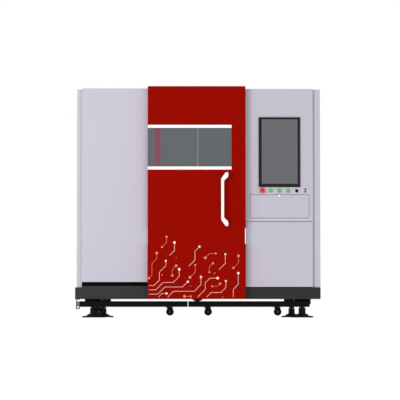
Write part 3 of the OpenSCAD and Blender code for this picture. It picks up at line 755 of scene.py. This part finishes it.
# ------------------------------------------------------------------ roof
bm, scr = bmesh.new(), bmesh.new()
for x0, x1 in ((-0.960, 0.330), (0.410, 0.975)):
    add_prism(bm, rrect(x1 - x0, 1.740, 0.014, 6), up((x0 + x1) / 2, 0.060, 1.910), 0.0042, 0.0016, 3)
    n = 7 if x1 - x0 > 1 else 4
    for k in range(n):
        for y in (-0.775, 0.895):
            cap_screw(scr, up(x0 + 0.035 + k * (x1 - x0 - 0.07) / (n - 1), y, 1.9140), 0.0062)
    for k in range(1, 8):
        for x in (x0 + 0.035, x1 - 0.035):
            cap_screw(scr, up(x, -0.775 + k * 1.670 / 8, 1.9140), 0.0062)
for x in (-0.600, 0.0, 0.690):
    # stiffening beads pressed across each cover
    w = 0.36 if x > 0.4 else 0.42
    for k in range(5):
        add_prism(bm, rrect(w, 0.030, 0.015, 7), up(x if x > 0.4 else x - 0.02, -0.560 + k * 0.310, 1.9138), 0.0030, 0.0022, 3)
for x in (-0.985, 1.000):
    for y in (-0.925, 1.020):
        add_lathe(scr, [(0.0150, 0.0), (0.0150, 0.0030), (0.0125, 0.0052), (0.0, 0.0058)], up(x, y, 1.910), 28)
finish_obj("roof_covers", bm, "panel", "enclosure", 35.0)
finish_obj("roof_screws", scr, "zinc", "enclosure", 35.0)

# ------------------------------------------------------------------ door: seal, inner pan
def closed_sweep(bm, path, prof, axis):
    sub = bmesh.new()
    n, k = len(path), len(prof)
    rings = []
    for i, p in enumerate(path):
        t = (path[(i + 1) % n] - path[i - 1]).normalized()
        side = t.cross(axis).normalized()
        rings.append([sub.verts.new(p + side * a + axis * b) for a, b in prof])
    for i in range(n):
        r0, r1 = rings[i], rings[(i + 1) % n]
        for q in range(k):
            sub.faces.new((r0[q], r0[(q + 1) % k], r1[(q + 1) % k], r1[q]))
    bmesh.ops.recalc_face_normals(sub, faces=sub.faces)
    join(bm, sub)


bm = bmesh.new()
loop = [Vector((u - 0.005, -0.990, v + 1.100)) for u, v in rrect(0.764, 1.600, 0.020, 8)]
closed_sweep(bm, loop, [(-0.0048, 0.0), (-0.0048, 0.0022), (-0.0034, 0.0026), (-0.0042, 0.0045), (-0.0034, 0.0068), (-0.0016, 0.0080),
                        (0.0016, 0.0080), (0.0034, 0.0068), (0.0042, 0.0045), (0.0034, 0.0026), (0.0048, 0.0022), (0.0048, 0.0)], Vector((0, -1, 0)))
seal = finish_obj("door_seal_bulb", bm, "seal", "enclosure", 50.0)
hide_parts("door_seal")

bm, scr, gas = bmesh.new(), bmesh.new(), bmesh.new()
for z in (0.420, 0.780, 1.100, 1.760):
    # pressed hat sections across the pan
    add_prism(bm, outline([(-0.330, -0.030, 0.006), (0.320, -0.030, 0.006), (0.320, 0.030, 0.006), (-0.330, 0.030, 0.006)], 4), rear(0, z, -0.999), 0.0020, 0.0006)
    add_prism(bm, rrect(0.600, 0.036, 0.006, 4), rear(-0.005, z, -0.9972), 0.0120, 0.0040, 3)
    for x in (-0.300, -0.150, 0.0, 0.150, 0.295):
        for v in (-0.0245, 0.0245):
            cap_screw(scr, rear(x, z + v, -0.9970), 0.0034, 12)
ring_prism(gas, rrect(0.644, 0.328, 0.018, 8), rrect(0.596, 0.280, 0.010, 8), rear(-0.060, 1.428, -0.999), 0.0060)
for k in range(7):
    for z in (0.230, 1.925):
        cap_screw(scr, rear(-0.330 + k * 0.115, z, -0.999), 0.0042, 12)
finish_obj("door_stiffeners", bm, "zinc", "door", 35.0)
finish_obj("door_pan_screws", scr, "steel", "door", 35.0)
finish_obj("window_gasket", gas, "seal", "door", 35.0)
bm = bmesh.new()
half = [(0.0625 * math.cos(a), 0.0625 * math.sin(a)) for a in [math.radians(222 + 96 * i / 28) for i in range(29)]]
add_prism(bm, half, front(-0.003, 0.198, -1.0006), 0.0030, 0.0006, 1)
finish_obj("door_buffer", bm, "seal", "door", 35.0)
bm = bmesh.new()
add_box(bm, (0.3520, -0.9992, 1.0100), (0.3690, -0.9915, 1.0700), 0.0016)
finish_obj("interlock_magnet", bm, "yellow", "door")

# folded cover plates over the lock on the door's edges
bm = bmesh.new()
add_box(bm, (0.3999, -1.0418, 0.618), (0.4022, -1.0040, 0.748), 0.0006)
add_box(bm, (0.3950, -1.0420, 0.618), (0.4022, -1.0408, 0.748), 0.0004)
add_box(bm, (-0.4232, -1.0360, 0.618), (-0.4209, -1.0040, 0.748), 0.0006)
for z in (0.634, 0.732):
    cap_screw(bm, right(-1.020, z, 0.4021), 0.0034, 12)
    cap_screw(bm, left(-1.020, z, -0.4231), 0.0034, 12)
edge_plates = finish_obj("lock_plates", bm, "white", "door")
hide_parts("door_edge_plates")

# ------------------------------------------------------------------ console
# keyboard with separate caps
bm = bmesh.new()
add_box(bm, (0.475, -0.910, 0.848), (0.895, -0.770, 0.8595), 0.0035, 3)
rows = [[1] * 20, [1] * 13 + [2] + [1] * 5, [1.5] + [1] * 12 + [1.5] + [1] * 5, [1.75] + [1] * 11 + [2.25] + [1] * 5,
        [2.25] + [1] * 10 + [2.75] + [1] * 5, [1.25] * 3 + [6.25] + [1.25] * 4 + [1] * 5]
kb = bmesh.new()
for i, row in enumerate(rows):
    tot = sum(row)
    pitch = 0.404 / tot
    u = 0.483
    yc = -0.785 - i * 0.0215
    for wk in row:
        w = wk * pitch - 0.0022
        top = 0.0030
        x0, x1, y0, y1 = u, u + w, yc - 0.0094, yc + 0.0094
        sub = bmesh.new()
        lo = [sub.verts.new((x, y, 0.8588)) for x, y in ((x0, y0), (x1, y0), (x1, y1), (x0, y1))]
        hi = [sub.verts.new((x, y, 0.8680)) for x, y in ((x0 + top, y0 + top), (x1 - top, y0 + top), (x1 - top, y1 - top * 0.6), (x0 + top, y1 - top * 0.6))]
        sub.faces.new(hi)
        for a in range(4):
            c = (a + 1) % 4
            sub.faces.new((lo[a], lo[c], hi[c], hi[a]))
        sub.faces.new(lo[::-1])
        bmesh.ops.recalc_face_normals(sub, faces=sub.faces)
        bmesh.ops.bevel(sub, geom=[e for e in sub.edges if max(v.co.z for v in e.verts) > 0.867], offset=0.0008, segments=2, profile=0.5, affect="EDGES")
        join(kb, sub)
        u += wk * pitch
base = finish_obj("keyboard_base", bm, "blackplastic", "drawer")
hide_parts("keyboard")
finish_obj("keyboard_caps", kb, "keycap", "drawer", 30.0)

# monitor: a fine inner lip around the glass
bm = bmesh.new()
ring_prism(bm, rrect(0.308, 0.550, 0.002, 3), rrect(0.302, 0.544, 0.001, 3), front(0.688, 1.395, -0.9972), 0.0010)
finish_obj("screen_lip", bm, "blackplastic", "enclosure")

# button rings and data sockets
BTN = ((0.541, 0.011), (0.614, 0.013), (0.686, 0.014), (0.759, 0.014), (0.831, 0.010))
rg, so = bmesh.new(), bmesh.new()
for i, (x, r) in enumerate(BTN):
    add_lathe(so if i in (0, 4) else rg, [(r + 0.0005, 0.0), (r + 0.0032, 0.0), (r + 0.0032, 0.0020), (r + 0.0024, 0.0030), (r + 0.0008, 0.0030),
                                         (r + 0.0005, 0.0024), (r + 0.0005, 0.0)], front(x, 1.064, -0.990), 40)
for s in (-1, 1):
    place = front(0.903, 1.067 + s * 0.0102, -0.990)
    ring_prism(so, rrect(0.0144, 0.0120, 0.002, 3), rrect(0.0074, 0.0040, 0.0006, 3), place, 0.0012)
    add_prism(so, rrect(0.0090, 0.0070, 0.0010, 3), moved(place, 0, 0, -0.0180), 0.0150)
    add_prism(so, rrect(0.0062, 0.0012, 0.0003, 2), moved(place, 0, 0.0004, -0.0040), 0.0034)
rings = finish_obj("button_rings", rg, "ring", "enclosure")
sockets = finish_obj("data_sockets", so, "black", "enclosure")
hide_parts("panel_bezels")

# laser source front
gr, bk, fr, kn = bmesh.new(), bmesh.new(), bmesh.new(), bmesh.new()
for x in (0.610, 0.760):
    fan(gr, bk, front(x, 0.385, 0.250), 0.052)
add_prism(fr, rrect(0.080, 0.060, 0.005, 4), front(0.866, 0.420, 0.250), 0.0030, 0.0008)
for k in range(4):
    add_lathe(kn, [(0.0, 0.0), (0.0085, 0.0), (0.0085, 0.006), (0.0070, 0.0078), (0.0, 0.0080)], front(0.838 + k * 0.020, 0.345, 0.250), 24)
for k in range(9):
    add_box(fr, (0.505 + k * 0.048, 0.2485, 0.282), (0.540 + k * 0.048, 0.2502, 0.288), 0.0006, 1)
finish_obj("source_fan_guards", gr, "steel", "enclosure")
finish_obj("source_fan_openings", bk, "blackplastic", "enclosure")
finish_obj("source_panel", fr, "blackplastic", "enclosure")
finish_obj("source_connectors", kn, "steel", "enclosure")

# drives, terminals and wiring ducts on the control plate
bm, bk, tm = bmesh.new(), bmesh.new(), bmesh.new()
CP = lambda y, z, x: right(y, z, x)
for i in range(4):
    yc = -0.2775 + i * 0.115
    for k in range(9):
        add_prism(bk, rrect(0.060, 0.0050, 0.002, 2), CP(yc, 1.330 + k * 0.009, 0.486), 0.0006)
    add_prism(bm, rrect(0.060, 0.034, 0.003, 3), CP(yc, 1.285, 0.486), 0.0024, 0.0008)
    for k in range(5):
        add_prism(tm, rrect(0.010, 0.018, 0.001, 2), CP(yc - 0.026 + k * 0.013, 1.205, 0.486), 0.0080, 0.0008, 1)
for i in range(3):
    yc = -0.260 + i * 0.150
    for k in range(7):
        add_prism(bk, rrect(0.090, 0.0050, 0.002, 2), CP(yc, 0.990 + k * 0.009, 0.456), 0.0006)
    for k in range(7):
        add_prism(tm, rrect(0.011, 0.018, 0.001, 2), CP(yc - 0.042 + k * 0.014, 0.920, 0.456), 0.0070, 0.0008, 1)
for z in (0.820, 1.110, 1.460):
    for k in range(32):
        add_prism(bk, rrect(0.0055, 0.024, 0.001, 2), CP(-0.320 + k * 0.0142, z + 0.020, 0.426), 0.0005)
for k in range(11):
    add_prism(bk, rrect(0.300, 0.0060, 0.002, 2), CP(-0.100, 0.610 + k * 0.012, 0.466), 0.0006)
finish_obj("drive_displays", bm, "blackplastic", "enclosure")
finish_obj("drive_vents", bk, "blackplastic", "enclosure")
finish_obj("drive_terminals", tm, "green", "enclosure")

# ------------------------------------------------------------------ cutting gantry and head
GX, GY = -0.250, 0.650
bm, scr = bmesh.new(), bmesh.new()
for x in (-0.880, 0.340):
    s = -1 if x < 0 else 1
    place = left(GY, 0.950, x) if s < 0 else right(GY, 0.950, x)
    add_prism(bm, rrect(0.122, 0.142, 0.006, 4), place, 0.0060, 0.0018)
    for u in (-0.050, 0.050):
        for v in (-0.060, 0.060):
            cap_screw(scr, moved(place, u, v, 0.0058), 0.0045, 12)
    # motors on the beam's ends
    xm = -0.840 if s < 0 else 0.300
    add_box(bm, (xm - 0.030, GY + 0.060, 0.900), (xm + 0.030, GY + 0.068, 0.965), 0.001)
    add_prism(bm, rrect(0.056, 0.056, 0.006, 4), rear(xm, 0.932, GY + 0.068), 0.090, 0.003, 2)
    add_prism(bm, rrect(0.048, 0.048, 0.006, 4), rear(xm, 0.932, GY + 0.158), 0.024, 0.003, 2)
for z in (0.917, 0.987):
    for k in range(18):
        add_prism(scr, disc(0.0038, 14), front(-0.785 + k * 0.0606, z, GY - 0.072), 0.00015)
finish_obj("gantry_ends_motors", bm, "blackplastic", "gantry", 35.0)
finish_obj("gantry_screws", scr, "zincdark", "gantry", 35.0)
scr = bmesh.new()
for x in (GX - 0.069, GX + 0.069):
    for z in (0.897, 0.917, 0.951, 0.985, 1.006):
        cap_screw(scr, front(x, z, GY - 0.102), 0.0042, 12)
finish_obj("carriage_screws", scr, "zincdark", "carriage", 35.0)
scr = bmesh.new()
for x in (-0.840, 0.300):
    for k in range(29):
        add_prism(scr, disc(0.0046, 14), up(x, -0.820 + k * 0.0622, 0.842), 0.00015)
finish_obj("guide_screws", scr, "zincdark", "enclosure", 35.0)
al, cu, bl = bmesh.new(), bmesh.new(), bmesh.new()
HC = lambda u, v, w: Vector((GX + u, GY - 0.172 + v, w))
add_lathe(al, [(0.0342, 0.9010), (0.0362, 0.9025), (0.0362, 0.9090), (0.0348, 0.9105), (0.0348, 0.9195), (0.0362, 0.9210), (0.0362, 0.9280), (0.0342, 0.9295)], HC, 48)
add_lathe(al, [(0.0222, 1.0800), (0.0268, 1.0812), (0.0268, 1.0890), (0.0240, 1.0905), (0.0240, 1.0990), (0.0232, 1.1005)], HC, 40)
for k in range(36):
    a = k * math.pi / 18
    add_prism(al, [(0.0, -0.0012), (0.0016, 0.0), (0.0, 0.0012)],
              lambda u, v, w, a=a: HC((0.0346 + u) * math.cos(a) - v * math.sin(a), (0.0346 + u) * math.sin(a) + v * math.cos(a), 0.9112 + w), 0.0076)
add_lathe(cu, [(0.0052, 0.8655), (0.0075, 0.8658), (0.0125, 0.8760), (0.0150, 0.8770), (0.0150, 0.8830), (0.0142, 0.8845)], HC, 36)
add_prism(bl, rrect(0.070, 0.030, 0.004, 4), front(GX, 0.962, GY - 0.212), 0.0060, 0.0015)
for u in (-0.024, 0.024):
    add_lathe(al, [(0.0, 0.0), (0.0058, 0.0), (0.0058, 0.006), (0.0048, 0.0075), (0.0, 0.0078)], front(GX + u, 0.962, GY - 0.2178), 20)
for u in (-0.037, 0.037):
    for z in (0.940, 1.005, 1.070):
        cap_screw(al, front(GX + u, z, GY - 0.212), 0.0040, 12)
add_prism(bl, rrect(0.040, 0.050, 0.003, 4), front(GX, 1.035, GY - 0.212), 0.0024, 0.0008)
for s in (-1, 1):
    place = left(GY - 0.172, 1.000, GX - 0.046) if s < 0 else right(GY - 0.172, 1.000, GX + 0.046)
    add_prism(cu, hexagon(0.0075), place, 0.0060, 0.0006, 1)
    add_lathe(cu, [(0.0055, 0.0055), (0.0055, 0.0120), (0.0046, 0.0130), (0.0046, 0.0165), (0.0034, 0.0165), (0.0034, 0.0100), (0.0, 0.0100)], place, 24)
finish_obj("head_collars", al, "alu", "head", 35.0)
finish_obj("head_nozzle", cu, "copper", "head", 35.0)
finish_obj("head_covers", bl, "blackplastic", "head", 35.0)

# chamber lamps under the roof
bm, wl = bmesh.new(), bmesh.new()
for y in (-0.790, 0.830):
    add_box(bm, (-0.900, y - 0.030, 1.872), (0.330, y + 0.030, 1.8882), 0.002)
    add_prism(wl, rrect(1.200, 0.044, 0.006, 4), lambda u, v, w, y=y: Vector((-0.285 + u, y + v, 1.8725 - w)), 0.0090, 0.003, 2)
finish_obj("chamber_lamp_bodies", bm, "source", "enclosure")
finish_obj("chamber_lamp_covers", wl, "lamp", "enclosure")


# ------------------------------------------------------------------ stage, light, camera
def plane(name, size, z, mat):
    me = bpy.data.meshes.new(name)
    me.from_pydata([(-size, -size, z), (size, -size, z), (size, size, z), (-size, size, z)], [], [(0, 1, 2, 3)])
    ob = bpy.data.objects.new(name, me)
    bpy.context.scene.collection.objects.link(ob)
    me.materials.append(mat)
    return ob


fm = bpy.data.materials.new("floor_pale")
fm.use_nodes = True
fb = fm.node_tree.nodes["Principled BSDF"]
fb.inputs["Base Color"].default_value = (0.90, 0.90, 0.90, 1)
fb.inputs["Roughness"].default_value = 0.9
fb.inputs["Specular IOR Level"].default_value = 0.1
fb.inputs["Emission Color"].default_value = (1, 1, 1, 1)
fb.inputs["Emission Strength"].default_value = 0.80
plane("floor", 120.0, 0.0, fm)

sc = bpy.context.scene
world = bpy.data.worlds.new("studio")
sc.world = world
world.use_nodes = True
wt = world.node_tree
fill = wt.nodes["Background"]
fill.inputs["Color"].default_value = (1, 1, 1, 1)
fill.inputs["Strength"].default_value = 0.42
back = node(wt, "ShaderNodeBackground", 0, -200)
back.inputs["Color"].default_value = (1, 1, 1, 1)
back.inputs["Strength"].default_value = 1.0
lp = node(wt, "ShaderNodeLightPath", -200, 200)
wmix = node(wt, "ShaderNodeMixShader", 200, 0)
wt.links.new(lp.outputs["Is Camera Ray"], wmix.inputs[0])
wt.links.new(fill.outputs[0], wmix.inputs[1])
wt.links.new(back.outputs[0], wmix.inputs[2])
wt.links.new(wmix.outputs[0], wt.nodes["World Output"].inputs["Surface"])
sc.view_settings.view_transform = "Standard"
sc.view_settings.look = "None"


def area(name, loc, target, size, energy, col=(1, 1, 1)):
    li = bpy.data.lights.new(name, "AREA")
    li.shape = "DISK"
    li.size = size
    li.energy = energy
    li.color = col
    ob = bpy.data.objects.new(name, li)
    sc.collection.objects.link(ob)
    ob.location = loc
    ob.rotation_euler = (Vector(target) - Vector(loc)).to_track_quat("-Z", "Y").to_euler()
    return ob


area("key", (-3.5, -5.5, 2.6), (-0.2, -0.9, 1.0), 2.2, 90)
area("rim", (4.5, 5.5, 5.0), (0, 0.6, 1.0), 3.0, 160)

cam_d = bpy.data.cameras.new("camera")
cam_d.sensor_width = 36.0
cam_d.lens = 181.4
cam_d.clip_end = 400.0
cam = bpy.data.objects.new("camera", cam_d)
sc.collection.objects.link(cam)
cam.location = (-0.032, -17.9, 0.03)
cam.rotation_euler = (Vector((0.018, -0.99, 0.987)) - cam.location).to_track_quat("-Z", "Y").to_euler()
sc.camera = cam

bpy.context.view_layer.update()
